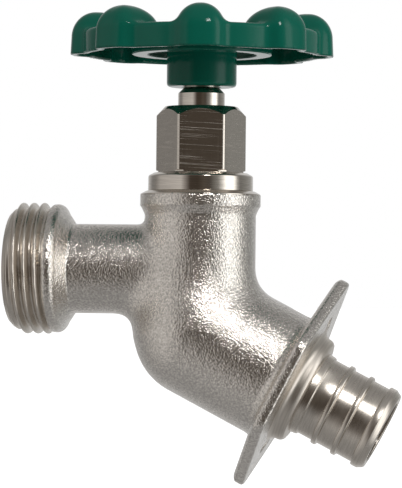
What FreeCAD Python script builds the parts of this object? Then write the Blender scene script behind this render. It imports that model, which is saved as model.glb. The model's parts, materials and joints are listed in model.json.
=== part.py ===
import FreeCAD, Part
import math
import os
import Sketcher

# Hose bibb: a cast valve body with a horizontal hose outlet, a slanted inlet with a wall
# flange and a tubing barb, and a vertical stem with a lobed handwheel.
#
# Every sub-part is drawn in the valve's own frame, whose origin is where the stem's axis
# crosses the outlet's axis: +Z runs up the stem, the outlet runs along -X and the inlet
# slants down towards +X. A placement then moves each one so that the document's origin
# is the centre of the flange's wall face.

document = FreeCAD.newDocument("hose_bib")
sheet = document.addObject("Spreadsheet::Sheet", "sizes")

SIZES = {
    # where the axes and the wall face are
    "inlet_tilt": 27.5,
    "elbow_drop": 12.9,
    "wall_distance": 22.8,
    # barrel under the stem
    "barrel_radius": 11.45,
    "collar_radius": 12.4,
    "collar_start": 11.1,
    "collar_full": 13.4,
    "collar_top": 15.5,
    "body_top": 16.15,
    "body_top_radius": 11.2,
    # hose outlet
    "neck_radius": 9.25,
    "neck_end": 26.5,
    "cone_radius": 11.6,
    "cone_end": 27.9,
    "shoulder_radius": 13.2,
    "shoulder_start": 28.9,
    "shoulder_end": 30.9,
    "thread_radius": 13.49,
    "thread_depth": 1.43,
    "thread_pitch": 2.209,
    "first_crest": 32.1,
    "crest_flat": 0.5,
    "outlet_end": 39.2,
    "outlet_tip_radius": 11.5,
    "outlet_tip_chamfer": 1.3,
    "outlet_bore_radius": 6.8,
    "outlet_bore_start": 8.0,
    "mouth_radius": 9.6,
    "mouth_start": 31.5,
    # slanted inlet
    "elbow_radius": 13.45,
    "flange_thick": 2.8,
    "flange_tip": 23.9,
    "flange_side_up": 9.3,
    "flange_side_out": 19.7,
    "flange_round": 3.5,
    "screw_hole_radius": 2.15,
    "screw_hole_offset": 13.4,
    "spigot_radius": 11.5,
    "spigot_round_start": 25.0,
    "spigot_end": 25.95,
    "spigot_end_radius": 10.45,
    "step_radius": 8.75,
    "step_end": 27.5,
    "barb_core_radius": 8.35,
    "barb_rib_radius": 8.915,
    "barb_rib_width": 1.2,
    "first_rib": 31.5,
    "second_rib": 36.0,
    "flare_start": 40.2,
    "flare_full": 41.6,
    "barb_end": 42.8,
    "barb_tip_radius": 8.15,
    "inlet_bore_radius": 6.9,
    "inlet_bore_start": 3.5,
    # chamber and seat
    "chamber_radius": 8.9,
    "chamber_floor": -5.5,
    "seat_height": -4.5,
    "seat_radius": 6.4,
    "port_radius": 5.0,
    "port_bottom": -14.0,
    "gasket_seat_radius": 10.3,
    "gasket_thick": 0.8,
    # bonnet
    "bonnet_skirt_radius": 8.85,
    "bonnet_bottom": 7.0,
    "bonnet_thread_radius": 6.25,
    "bonnet_thread_top": 18.2,
    "bonnet_rim_radius": 10.8,
    "bonnet_rim_top": 19.3,
    "bonnet_cone_radius": 9.5,
    "bonnet_shoulder": 19.9,
    "bonnet_neck_radius": 6.85,
    "bonnet_top": 26.0,
    # packing nut, packing and gland
    "nut_flats": 16.2,
    "nut_face_radius": 8.6,
    "nut_face_top": 20.5,
    "nut_bottom": 20.0,
    "nut_top": 33.5,
    "nut_top_radius": 7.5,
    "nut_chamfer_drop": 5.0,
    "nut_chamfer_out": 4.45,
    "nut_bore_radius": 6.9,
    "nut_bore_top": 31.4,
    "nut_hole_radius": 5.0,
    "nut_turn": 8.9,
    "packing_top": 29.0,
    "gland_top": 31.35,
    "packing_gap": 0.05,
    "stack_radius": 6.82,
    # stem
    "stem_radius": 4.8,
    "stem_gap": 0.06,
    "stem_bottom": -0.4,
    "stem_tail_radius": 4.5,
    "stem_thread_radius": 6.19,
    "stem_thread_bottom": 4.5,
    "stem_thread_top": 11.9,
    "stem_chamfer_start": 36.4,
    "stem_neck_radius": 3.7,
    "stem_chamfer_end": 37.4,
    "stem_neck_top": 38.2,
    "drive_width": 5.6,
    "drive_top": 46.4,
    "socket_radius": 2.08,
    "socket_top": 3.6,
    # swivelling disc, washer and screw
    "stalk_radius": 2.0,
    "stalk_top": 3.2,
    "disc_top": -0.55,
    "disc_underside": -2.0,
    "disc_radius": 7.2,
    "disc_lip_radius": 6.55,
    "disc_lip_bottom": -3.6,
    "washer_radius": 6.5,
    "washer_bottom": -4.42,
    "washer_screw_radius": 1.1,
    "washer_screw_top": 1.8,
    "washer_screw_head": 3.2,
    "washer_screw_bottom": -5.7,
    "screw_slot_width": 0.8,
    "screw_slot_depth": 0.6,
    "screw_gap": 0.03,
    # handwheel and its screw
    "hub_radius": 7.2,
    "hub_bottom": 37.6,
    "hub_round": 0.7,
    "hub_top": 46.6,
    "hub_socket_radius": 3.85,
    "hub_socket_top": 38.4,
    "drive_gap": 0.1,
    "rim_bottom": 44.0,
    "rim_top": 49.0,
    "rim_radius": 24.7,
    "rim_wall": 1.4,
    "web_lip_radius": 14.4,
    "web_lip_inner_radius": 11.2,
    "web_lip_bottom": 44.2,
    "web_underside": 45.1,
    "web_top": 47.0,
    "lobe_count": 8,
    "lobe_radius": 5.0,
    "lobe_centre": 21.9,
    "lobe_axis_height": 47.7,
    "lobe_width": 9.4,
    "lobe_wall": 1.3,
    "wheel_turn": 8.0,
    "star_washer_radius": 5.0,
    "star_washer_hole": 2.1,
    "star_washer_thick": 0.8,
    "wheel_screw_radius": 1.9,
    "wheel_screw_depth": 10.5,
    "wheel_screw_head": 4.2,
    "wheel_screw_head_high": 2.2,
    "wheel_screw_head_round": 0.8,
}


def fill_sheet():
    """Write each driving dimension as text in column B, under its own alias."""
    for row, (name, value) in enumerate(SIZES.items(), start=1):
        sheet.set("A%d" % row, name)
        sheet.set("B%d" % row, str(value))
        sheet.setAlias("B%d" % row, name)
    document.recompute()


def formula(text):
    """Turn a short formula in size names into one that reads the sheet."""
    words = text.replace("(", " ( ").replace(")", " ) ").split()
    text = " ".join("sizes." + word if word in SIZES else word for word in words)
    return text.replace(" (", "(")


def value_of(text):
    result = sheet.evalExpression(formula(text))
    return float(getattr(result, "Value", result))


def new_body(label):
    """A PartDesign body whose frame is moved so that the wall face's centre is the origin."""
    body = document.addObject("PartDesign::Body", label)
    body.Label = label
    body.setExpression("Placement.Base.x", formula("- wall_distance * cos ( inlet_tilt * 1 deg )"))
    body.setExpression("Placement.Base.z", formula("elbow_drop + wall_distance * sin ( inlet_tilt * 1 deg )"))
    return body


def origin_feature(body, role):
    return next(item for item in body.Origin.OriginFeatures if item.Role == role)


def sketch_on(body, name, role, **offsets):
    """A sketch on one of the body's origin planes, with offsets bound to the sheet."""
    sketch = body.newObject("Sketcher::SketchObject", name)
    sketch.AttachmentSupport = (origin_feature(body, role), "")
    sketch.MapMode = "FlatFace"
    for place, text in offsets.items():
        sketch.setExpression("AttachmentOffset." + place.replace("_", "."), formula(text))
    return sketch


def outline(sketch, corners):
    """A closed outline through corners, each a pair of formulas for the sketch's x and y."""
    points = [FreeCAD.Vector(value_of(x), value_of(y), 0) for x, y in corners]
    count = len(points)
    first = sketch.GeometryCount
    for index in range(count):
        sketch.addGeometry(Part.LineSegment(points[index], points[(index + 1) % count]), False)
    for index in range(count):
        following = (index + 1) % count
        sketch.addConstraint(Sketcher.Constraint("Coincident", first + index, 2, first + following, 1))
    for index, (x, y) in enumerate(corners):
        for kind, text, value in (("DistanceX", x, points[index].x), ("DistanceY", y, points[index].y)):
            number = sketch.addConstraint(Sketcher.Constraint(kind, -1, 1, first + index, 1, value))
            name = "corner_%d_%s" % (first + index, kind[-1].lower())
            sketch.renameConstraint(number, name)
            sketch.setExpression("Constraints." + name, formula(text))


def circle(sketch, radius, x="0", y="0"):
    centre = FreeCAD.Vector(value_of(x), value_of(y), 0)
    ring = sketch.addGeometry(Part.Circle(centre, FreeCAD.Vector(0, 0, 1), value_of(radius)), False)
    for kind, text, value in (("DistanceX", x, centre.x), ("DistanceY", y, centre.y)):
        number = sketch.addConstraint(Sketcher.Constraint(kind, -1, 1, ring, 3, value))
        name = "centre_%d_%s" % (ring, kind[-1].lower())
        sketch.renameConstraint(number, name)
        sketch.setExpression("Constraints." + name, formula(text))
    number = sketch.addConstraint(Sketcher.Constraint("Radius", ring, value_of(radius)))
    sketch.renameConstraint(number, "radius_%d" % ring)
    sketch.setExpression("Constraints.radius_%d" % ring, formula(radius))


def arch(sketch, x, y, radius, foot):
    """A closed arch: a half circle about (x, y) on two straight legs down to the foot's height."""
    middle, height, reach, low = (value_of(text) for text in (x, y, radius, foot))
    left = FreeCAD.Vector(middle - reach, low, 0)
    right = FreeCAD.Vector(middle + reach, low, 0)
    rise = FreeCAD.Vector(0, height - low, 0)
    full = Part.Circle(FreeCAD.Vector(middle, height, 0), FreeCAD.Vector(0, 0, 1), reach)
    sketch.addGeometry(Part.LineSegment(left, right), False)
    sketch.addGeometry(Part.LineSegment(right, right + rise), False)
    sketch.addGeometry(Part.ArcOfCircle(full, 0, math.pi), False)
    sketch.addGeometry(Part.LineSegment(left + rise, left), False)
    for edge in range(4):
        sketch.addConstraint(Sketcher.Constraint("Coincident", edge, 2, (edge + 1) % 4, 1))
    half_width = "( " + radius + " )"
    bindings = (
        ("left_foot_x", "DistanceX", 0, 1, x + " - " + half_width),
        ("left_foot_y", "DistanceY", 0, 1, foot),
        ("right_foot_x", "DistanceX", 0, 2, x + " + " + half_width),
        ("right_foot_y", "DistanceY", 0, 2, foot),
        ("right_top_x", "DistanceX", 1, 2, x + " + " + half_width),
        ("right_top_y", "DistanceY", 1, 2, y),
        ("left_top_x", "DistanceX", 3, 1, x + " - " + half_width),
        ("left_top_y", "DistanceY", 3, 1, y),
        ("centre_y", "DistanceY", 2, 3, y),
    )
    for name, kind, edge, end, text in bindings:
        number = sketch.addConstraint(Sketcher.Constraint(kind, -1, 1, edge, end, value_of(text)))
        sketch.renameConstraint(number, name)
        sketch.setExpression("Constraints." + name, formula(text))


def volume(body):
    return body.Shape.Volume


def must_cut(body, before, name):
    document.recompute()
    if not volume(body) < before - 1e-6:
        raise RuntimeError(name + " removes nothing")


def turned(body, name, corners, cut=False, **offsets):
    """Turn an outline of (radius, distance along the axis) corners; cut=True removes it."""
    before = volume(body) if cut else 0
    sketch = sketch_on(body, name + "_outline", "XZ_Plane", **offsets)
    outline(sketch, corners)
    document.recompute()
    feature = body.newObject("PartDesign::Groove" if cut else "PartDesign::Revolution", name)
    feature.Profile = sketch
    feature.ReferenceAxis = (sketch, ["V_Axis"])
    feature.Angle = 360
    if cut:
        must_cut(body, before, name)
    document.recompute()
    return feature


OUTLET = {"Rotation_Angle": "90 deg"}
INLET = {"Rotation_Angle": "- 90 deg - inlet_tilt * 1 deg", "Base_y": "- elbow_drop"}


def padded(body, name, sketch, length):
    feature = body.newObject("PartDesign::Pad", name)
    feature.Profile = sketch
    feature.setExpression("Length", formula(length))
    document.recompute()
    return feature


def pocketed(body, name, sketch, length, up=True):
    """Cut a sketch into the body, towards its own normal (up) or away from it."""
    before = volume(body)
    feature = body.newObject("PartDesign::Pocket", name)
    feature.Profile = sketch
    feature.setExpression("Length", formula(length))
    feature.Reversed = up
    must_cut(body, before, name)
    return feature


def square(sketch, width):
    half = "( " + width + " ) / 2"
    outline(sketch, [(half, half), ("- " + half, half), ("- " + half, "- " + half), (half, "- " + half)])


def thread_ridges(first, count):
    """Ridge corners of the hose thread, from the shoulder to the outlet's end."""
    corners = []
    root = "thread_radius - thread_depth"
    for turn in range(count):
        crest = "%s + %d * thread_pitch" % (first, turn)
        corners += [
            ("thread_radius", crest + " - crest_flat / 2"),
            ("thread_radius", crest + " + crest_flat / 2"),
            (root, crest + " + thread_pitch / 2"),
        ]
    return corners


def rib(middle):
    """Corners of one barb rib, square on the wall's side and sloped towards the tip."""
    return [
        ("barb_core_radius", middle + " - barb_rib_width / 2"),
        ("barb_rib_radius", middle + " - barb_rib_width / 2"),
        ("barb_rib_radius", middle + " + barb_rib_width / 4"),
        ("barb_core_radius", middle + " + barb_rib_width / 2"),
    ]


def make_body_casting():
    """The casting: flange, barrel, elbow, hose outlet with its thread, and barbed inlet."""
    body = new_body("body_casting")
    plate = sketch_on(
        body, "flange_outline", "XY_Plane",
        Base_x="( wall_distance - flange_thick ) * cos ( inlet_tilt * 1 deg )",
        Base_z="- elbow_drop - ( wall_distance - flange_thick ) * sin ( inlet_tilt * 1 deg )",
    )
    tilt_plane(plate)
    outline(plate, [
        ("- flange_tip", "0"),
        ("- flange_side_up", "- flange_side_out"),
        ("flange_side_up", "- flange_side_out"),
        ("flange_tip", "0"),
        ("flange_side_up", "flange_side_out"),
        ("- flange_side_up", "flange_side_out"),
    ])
    document.recompute()
    flange = padded(body, "flange", plate, "flange_thick")
    corners = body.newObject("PartDesign::Fillet", "flange_corners")
    thick = value_of("flange_thick")
    names = ["Edge%d" % (number + 1) for number, edge in enumerate(flange.Shape.Edges)
             if abs(edge.Length - thick) < 1e-4]
    corners.Base = (flange, names)
    corners.setExpression("Radius", formula("flange_round"))
    document.recompute()

    turned(body, "barrel", [
        ("0", "- elbow_drop"),
        ("barrel_radius", "- elbow_drop"),
        ("barrel_radius", "collar_start"),
        ("collar_radius", "collar_full"),
        ("collar_radius", "collar_top"),
        ("body_top_radius", "body_top"),
        ("0", "body_top"),
    ])
    elbow = body.newObject("PartDesign::AdditiveSphere", "elbow")
    elbow.setExpression("Radius", formula("elbow_radius"))
    elbow.setExpression("Placement.Base.z", formula("- elbow_drop"))
    document.recompute()
    turned(body, "outlet", [
        ("0", "0"),
        ("neck_radius", "0"),
        ("neck_radius", "neck_end"),
        ("cone_radius", "cone_end"),
        ("shoulder_radius", "shoulder_start"),
        ("shoulder_radius", "shoulder_end"),
        ("thread_radius - thread_depth", "first_crest - thread_pitch / 2"),
        *thread_ridges("first_crest", 3),
        ("thread_radius - thread_depth", "outlet_end - outlet_tip_chamfer"),
        ("outlet_tip_radius", "outlet_end"),
        ("0", "outlet_end"),
    ], **OUTLET)
    turned(body, "inlet", [
        ("0", "0"),
        ("elbow_radius", "0"),
        ("elbow_radius", "wall_distance - flange_thick / 2"),
        ("spigot_radius", "wall_distance - flange_thick / 2"),
        ("spigot_radius", "spigot_round_start"),
        ("spigot_end_radius", "spigot_end"),
        ("step_radius", "spigot_end"),
        ("step_radius", "step_end"),
        ("barb_core_radius", "step_end"),
        *rib("first_rib"),
        *rib("second_rib"),
        ("barb_core_radius", "flare_start"),
        ("barb_rib_radius", "flare_start"),
        ("barb_rib_radius", "flare_full"),
        ("barb_tip_radius", "barb_end"),
        ("0", "barb_end"),
    ], **INLET)

    turned(body, "chamber", [
        ("seat_radius", "seat_height"),
        ("seat_radius", "chamber_floor"),
        ("chamber_radius", "chamber_floor"),
        ("chamber_radius", "body_top - gasket_thick"),
        ("gasket_seat_radius", "body_top - gasket_thick"),
        ("gasket_seat_radius", "body_top + 1"),
        ("0", "body_top + 1"),
        ("0", "seat_height"),
    ], cut=True)
    turned(body, "seat_port", [
        ("0", "port_bottom"),
        ("port_radius", "port_bottom"),
        ("port_radius", "seat_height + 0.5"),
        ("0", "seat_height + 0.5"),
    ], cut=True)
    turned(body, "outlet_bore", [
        ("0", "outlet_bore_start"),
        ("outlet_bore_radius", "outlet_bore_start"),
        ("outlet_bore_radius", "mouth_start"),
        ("mouth_radius", "mouth_start"),
        ("mouth_radius", "outlet_end + 1"),
        ("0", "outlet_end + 1"),
    ], cut=True, **OUTLET)
    turned(body, "inlet_bore", [
        ("0", "inlet_bore_start"),
        ("inlet_bore_radius", "inlet_bore_start"),
        ("inlet_bore_radius", "barb_end + 1"),
        ("0", "barb_end + 1"),
    ], cut=True, **INLET)
    pocket_end = body.newObject("PartDesign::SubtractiveSphere", "inlet_bore_end")
    pocket_end.setExpression("Radius", formula("inlet_bore_radius"))
    pocket_end.setExpression("Placement.Base.x", formula("inlet_bore_start * cos ( inlet_tilt * 1 deg )"))
    pocket_end.setExpression(
        "Placement.Base.z", formula("- elbow_drop - inlet_bore_start * sin ( inlet_tilt * 1 deg )"))
    document.recompute()

    holes = sketch_on(
        body, "screw_hole_circles", "XY_Plane",
        Base_x="wall_distance * cos ( inlet_tilt * 1 deg )",
        Base_z="- elbow_drop - wall_distance * sin ( inlet_tilt * 1 deg )",
    )
    tilt_plane(holes)
    circle(holes, "screw_hole_radius", "screw_hole_offset")
    circle(holes, "screw_hole_radius", "- screw_hole_offset")
    document.recompute()
    pocketed(body, "screw_holes", holes, "flange_thick", up=False)
    return body


def tilt_plane(sketch):
    """Tip a sketch that lies flat so that its normal runs along the inlet, towards the wall."""
    sketch.AttachmentOffset = FreeCAD.Placement(
        sketch.AttachmentOffset.Base, FreeCAD.Rotation(FreeCAD.Vector(0, 1, 0), 90))
    sketch.setExpression("AttachmentOffset.Rotation.Angle", formula("90 deg + inlet_tilt * 1 deg"))


def make_bonnet():
    body = new_body("bonnet")
    turned(body, "bonnet_section", [
        ("bonnet_thread_radius", "bonnet_bottom"),
        ("bonnet_skirt_radius", "bonnet_bottom"),
        ("bonnet_skirt_radius", "body_top"),
        ("bonnet_rim_radius", "body_top"),
        ("bonnet_rim_radius", "bonnet_rim_top"),
        ("bonnet_cone_radius", "bonnet_shoulder"),
        ("bonnet_neck_radius", "bonnet_shoulder"),
        ("bonnet_neck_radius", "bonnet_top"),
        ("stem_radius + stem_gap", "bonnet_top"),
        ("stem_radius + stem_gap", "bonnet_thread_top"),
        ("bonnet_thread_radius", "bonnet_thread_top"),
    ])
    return body


def ring(label, inner, outer, bottom, top):
    """A flat ring about the stem, from its inner and outer radius and its two heights."""
    body = new_body(label)
    turned(body, label + "_section", [(inner, bottom), (outer, bottom), (outer, top), (inner, top)])
    return body


def make_packing_nut():
    body = new_body("packing_nut")
    hexagon = sketch_on(body, "hexagon", "XY_Plane", Base_z="nut_bottom",
                        Rotation_Angle="nut_turn * 1 deg")
    half = "nut_flats / 2"
    side = "nut_flats / 2 * tan ( 30 deg )"
    point = "nut_flats / 2 / cos ( 30 deg )"
    outline(hexagon, [
        (point, "0"),
        (side, half),
        ("- " + side, half),
        ("- " + point, "0"),
        ("- " + side, "- " + half),
        (side, "- " + half),
    ])
    document.recompute()
    padded(body, "nut_hexagon", hexagon, "nut_top - nut_bottom")
    turned(body, "top_chamfer", [
        ("nut_top_radius", "nut_top"),
        ("nut_top_radius + nut_chamfer_out", "nut_top"),
        ("nut_top_radius + nut_chamfer_out", "nut_top - nut_chamfer_drop"),
    ], cut=True)
    turned(body, "bearing_face", [
        ("nut_face_radius", "nut_bottom"),
        ("nut_flats", "nut_bottom"),
        ("nut_flats", "nut_face_top"),
        ("nut_face_radius", "nut_face_top"),
    ], cut=True)
    turned(body, "nut_bore", [
        ("0", "nut_bottom"),
        ("nut_bore_radius", "nut_bottom"),
        ("nut_bore_radius", "nut_bore_top"),
        ("nut_hole_radius", "nut_bore_top"),
        ("nut_hole_radius", "nut_top"),
        ("0", "nut_top"),
    ], cut=True)
    return body


def make_stem():
    body = new_body("stem")
    turned(body, "stem_section", [
        ("0", "socket_top"),
        ("socket_radius", "socket_top"),
        ("socket_radius", "stem_bottom"),
        ("stem_tail_radius", "stem_bottom"),
        ("stem_tail_radius", "stem_thread_bottom"),
        ("stem_thread_radius", "stem_thread_bottom"),
        ("stem_thread_radius", "stem_thread_top"),
        ("stem_radius", "stem_thread_top"),
        ("stem_radius", "stem_chamfer_start"),
        ("stem_neck_radius", "stem_chamfer_end"),
        ("stem_neck_radius", "stem_neck_top"),
        ("0", "stem_neck_top"),
    ])
    drive = sketch_on(body, "drive_square", "XY_Plane", Base_z="stem_neck_top - 0.5",
                      Rotation_Angle="wheel_turn * 1 deg")
    square(drive, "drive_width")
    document.recompute()
    padded(body, "drive", drive, "drive_top - stem_neck_top + 0.5")
    turned(body, "screw_hole", [
        ("0", "hub_top - wheel_screw_depth - 0.5"),
        ("wheel_screw_radius + screw_gap", "hub_top - wheel_screw_depth - 0.5"),
        ("wheel_screw_radius + screw_gap", "drive_top"),
        ("0", "drive_top"),
    ], cut=True)
    return body


def make_disc_holder():
    body = new_body("disc_holder")
    turned(body, "holder_section", [
        ("0", "stalk_top"),
        ("stalk_radius", "stalk_top"),
        ("stalk_radius", "disc_top"),
        ("disc_radius", "disc_top"),
        ("disc_radius", "disc_lip_bottom"),
        ("disc_lip_radius", "disc_lip_bottom"),
        ("disc_lip_radius", "disc_underside"),
        ("washer_screw_radius + screw_gap", "disc_underside"),
        ("washer_screw_radius + screw_gap", "washer_screw_top + 0.2"),
        ("0", "washer_screw_top + 0.2"),
    ])
    return body


def cut_slot(body, name, reach, face, turn, up):
    """Cut a driver's slot across a screw head's outer face, at a turn about the stem's axis."""
    sketch = sketch_on(body, name + "_outline", "XY_Plane", Base_z=face, Rotation_Angle=turn)
    half = "screw_slot_width / 2"
    outline(sketch, [
        (reach, half),
        ("- ( " + reach + " )", half),
        ("- ( " + reach + " )", "- " + half),
        (reach, "- " + half),
    ])
    document.recompute()
    pocketed(body, name, sketch, "screw_slot_depth", up=up)


def make_washer_screw():
    """The screw that holds the seat washer from below, with one slot across its head."""
    body = new_body("washer_screw")
    turned(body, "washer_screw_section", [
        ("0", "washer_screw_bottom"),
        ("washer_screw_head", "washer_screw_bottom"),
        ("washer_screw_head", "washer_bottom - screw_gap"),
        ("washer_screw_radius", "washer_bottom - screw_gap"),
        ("washer_screw_radius", "washer_screw_top"),
        ("0", "washer_screw_top"),
    ])
    cut_slot(body, "slot", "washer_screw_head + 1", "washer_screw_bottom", "0 deg", True)
    return body


def make_handwheel_screw():
    """The screw that holds the handwheel down on the stem, with a cross in its head."""
    body = new_body("handwheel_screw")
    head_bottom = "hub_top + star_washer_thick"
    head_top = head_bottom + " + wheel_screw_head_high"
    turned(body, "handwheel_screw_section", [
        ("0", "hub_top - wheel_screw_depth"),
        ("wheel_screw_radius", "hub_top - wheel_screw_depth"),
        ("wheel_screw_radius", head_bottom),
        ("wheel_screw_head", head_bottom),
        ("wheel_screw_head", head_top + " - wheel_screw_head_round"),
        ("wheel_screw_head - wheel_screw_head_round", head_top),
        ("0", head_top),
    ])
    for name, turn in (("cross_slot", "0 deg"), ("cross_slot_square_to_it", "90 deg")):
        cut_slot(body, name, "wheel_screw_head * 0.6", head_top, turn, False)
    return body


def make_handwheel():
    """Hub, dished web and rim turned in one, with hollow rounded lobes standing on the rim."""
    body = new_body("handwheel")
    turned(body, "hub_and_web", [
        ("hub_socket_radius", "hub_bottom"),
        ("hub_radius - hub_round", "hub_bottom"),
        ("hub_radius", "hub_bottom + hub_round"),
        ("hub_radius", "web_underside"),
        ("web_lip_inner_radius", "web_underside"),
        ("web_lip_inner_radius", "web_lip_bottom"),
        ("web_lip_radius", "web_lip_bottom"),
        ("rim_radius", "rim_bottom"),
        ("rim_radius", "rim_top"),
        ("rim_radius - 2 * rim_wall", "rim_top"),
        ("web_lip_radius", "web_top"),
        ("hub_radius", "hub_top"),
        ("0", "hub_top"),
        ("0", "hub_socket_top"),
        ("hub_socket_radius", "hub_socket_top"),
    ])
    lobes(body, "lobe", "lobe_radius", "lobe_width")
    lobes(body, "lobe_hollow", "lobe_radius - lobe_wall", "lobe_width - 2 * lobe_wall", cut=True)
    turned(body, "rim_channel", [
        ("web_lip_radius", "rim_bottom - 1"),
        ("rim_radius - rim_wall", "rim_bottom - 1"),
        ("rim_radius - rim_wall", "rim_top - rim_wall"),
        ("web_lip_radius", "web_top - rim_wall"),
    ], cut=True)
    drive = sketch_on(body, "drive_hole_square", "XY_Plane", Base_z="hub_socket_top")
    square(drive, "drive_width + drive_gap")
    document.recompute()
    pocketed(body, "drive_hole", drive, "hub_top - hub_socket_top")
    body.setExpression("Placement.Rotation.Angle", formula("wheel_turn * 1 deg"))
    return body


def lobes(body, name, radius, width, cut=False):
    """Round-topped blocks across the rim, one for each lobe, added to the wheel or cut from it."""
    before = volume(body)
    sketch = sketch_on(body, name + "_outline", "YZ_Plane", Base_z="- ( " + width + " ) / 2")
    arch(sketch, "- lobe_centre", "lobe_axis_height", radius, "rim_bottom")
    document.recompute()
    block = body.newObject("PartDesign::Pocket" if cut else "PartDesign::Pad", name)
    block.Profile = sketch
    block.Reversed = cut
    block.setExpression("Length", formula(width))
    if cut:
        must_cut(body, before, name)
    document.recompute()
    pattern = body.newObject("PartDesign::PolarPattern", name + "_ring")
    pattern.Originals = [block]
    pattern.Axis = (origin_feature(body, "Z_Axis"), [""])
    pattern.Angle = 360
    pattern.setExpression("Occurrences", formula("lobe_count"))
    body.Tip = pattern
    document.recompute()


def check(parts):
    for item in document.Objects:
        if "Invalid" in item.State or "Error" in item.State:
            raise RuntimeError(item.Name + " did not compute")
    for part in parts:
        if part.Shape.isNull() or not part.Shape.isValid():
            raise RuntimeError(part.Label + " has no valid shape")
        if len(part.Shape.Solids) != 1:
            raise RuntimeError(part.Label + " is not one solid")


def build():
    fill_sheet()
    parts = [
        make_body_casting(),
        ring("bonnet_gasket", "bonnet_skirt_radius + screw_gap", "gasket_seat_radius - screw_gap",
             "body_top - gasket_thick", "body_top"),
        make_bonnet(),
        make_packing_nut(),
        ring("packing_ring", "stem_radius + stem_gap", "stack_radius",
             "bonnet_top", "packing_top"),
        ring("packing_gland", "stem_radius + stem_gap", "stack_radius",
             "packing_top + packing_gap", "gland_top"),
        make_stem(),
        make_disc_holder(),
        ring("seat_washer", "washer_screw_radius + screw_gap", "washer_radius",
             "washer_bottom", "disc_underside - screw_gap"),
        make_washer_screw(),
        make_handwheel(),
        ring("star_washer", "star_washer_hole", "star_washer_radius",
             "hub_top", "hub_top + star_washer_thick"),
        make_handwheel_screw(),
    ]
    document.recompute()
    check(parts)
    os.makedirs("parts", exist_ok=True)
    for part in parts:
        part.Shape.exportStep("parts/" + part.Label + ".step")


build()
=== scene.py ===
import json
import math

import bmesh
import bpy
import numpy as np
from bpy.props import FloatProperty, FloatVectorProperty, PointerProperty
from mathutils import Matrix, Vector


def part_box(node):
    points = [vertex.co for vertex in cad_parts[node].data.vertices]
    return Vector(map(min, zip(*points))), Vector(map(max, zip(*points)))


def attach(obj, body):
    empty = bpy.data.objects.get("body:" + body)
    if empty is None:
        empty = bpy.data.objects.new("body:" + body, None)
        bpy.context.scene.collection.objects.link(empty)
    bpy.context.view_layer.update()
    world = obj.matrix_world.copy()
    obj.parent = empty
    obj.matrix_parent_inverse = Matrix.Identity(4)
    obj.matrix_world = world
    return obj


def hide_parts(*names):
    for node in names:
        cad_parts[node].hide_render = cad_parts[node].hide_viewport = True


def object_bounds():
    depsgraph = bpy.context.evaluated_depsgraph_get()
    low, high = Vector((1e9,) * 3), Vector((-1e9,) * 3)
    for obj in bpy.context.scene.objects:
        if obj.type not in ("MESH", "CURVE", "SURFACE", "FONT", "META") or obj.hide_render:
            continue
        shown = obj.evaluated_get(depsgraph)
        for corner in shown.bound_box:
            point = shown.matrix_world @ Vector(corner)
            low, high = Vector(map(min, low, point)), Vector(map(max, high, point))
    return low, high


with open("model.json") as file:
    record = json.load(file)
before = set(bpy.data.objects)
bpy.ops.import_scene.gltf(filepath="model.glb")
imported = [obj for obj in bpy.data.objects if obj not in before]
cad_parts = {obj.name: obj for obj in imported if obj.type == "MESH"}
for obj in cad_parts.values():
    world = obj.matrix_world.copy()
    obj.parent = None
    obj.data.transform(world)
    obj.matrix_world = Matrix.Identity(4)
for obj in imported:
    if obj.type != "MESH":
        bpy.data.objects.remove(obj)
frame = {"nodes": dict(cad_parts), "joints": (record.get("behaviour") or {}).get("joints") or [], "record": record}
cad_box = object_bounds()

bl_info = {
    "name": "Hose Bib Maker",
    "version": (1, 0, 0),
    "blender": (4, 5, 0),
    "location": "View3D > Sidebar > Hose Bib",
    "description": "Builds the looks of a nickel-plated hose bib around its CAD frame",
    "category": "Object",
}


# ---------------------------------------------------------------------------------------
# Places that come from the frame
# ---------------------------------------------------------------------------------------

def joint_point(name):
    """The point that a joint turns or slides through."""
    return Vector(next(j["pos_m"] for j in frame["joints"] if j["name"] == name))


def mount(name):
    """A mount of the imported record, by its name."""
    return next(m for m in frame["record"]["mounts"] if m["name"] == name)


UP = Vector((0, 0, 1))
LEFT = Vector((-1, 0, 0))
# The stem's axis crosses the outlet's axis here.
VALVE = joint_point("stem_turn")
# The inlet's axis runs through the origin, the middle of the wall face, towards the wall.
TO_WALL = Vector(mount("wall_face")["axis"]).normalized()
ELBOW = TO_WALL * (VALVE.x / TO_WALL.x)
WALL_DISTANCE = -VALVE.x / TO_WALL.x
# The flange's two screw holes.
SCREWS = mount("flange_screws")["dims"]
SCREW_PLACE = SCREWS["pcd_mm"] / 2000
SCREW_RADIUS = SCREWS["hole_r_mm"] / 1000
# Spaces whose Z runs up the stem, along the outlet and along the inlet.
STEM_SPACE = Matrix.Translation(VALVE)


def axis_space(origin, axis):
    """A matrix whose Z runs along the axis from the origin, and whose X is level."""
    axis = axis.normalized()
    side = Vector((0, 1, 0))
    return Matrix.Translation(origin) @ Matrix((side, axis.cross(side), axis)).transposed().to_4x4()


OUTLET_SPACE = axis_space(VALVE, LEFT)
INLET_SPACE = axis_space(ELBOW, TO_WALL)


def height_of(node, end):
    """A CAD node's lowest (0) or highest (1) height above the outlet's axis."""
    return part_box(node)[end].z - VALVE.z


# ---------------------------------------------------------------------------------------
# Sizes and colours that a user would change
# ---------------------------------------------------------------------------------------

def length(name, default, description):
    return FloatProperty(name=name, description=description, default=default,
                         unit="LENGTH", subtype="DISTANCE", precision=5, min=0.0)


def colour(name, default, description):
    return FloatVectorProperty(name=name, description=description, default=default,
                               subtype="COLOR", size=3, min=0.0, max=1.0)


def amount(name, default, description):
    return FloatProperty(name=name, description=description, default=default,
                         min=0.0, max=1.0, subtype="FACTOR")


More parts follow.
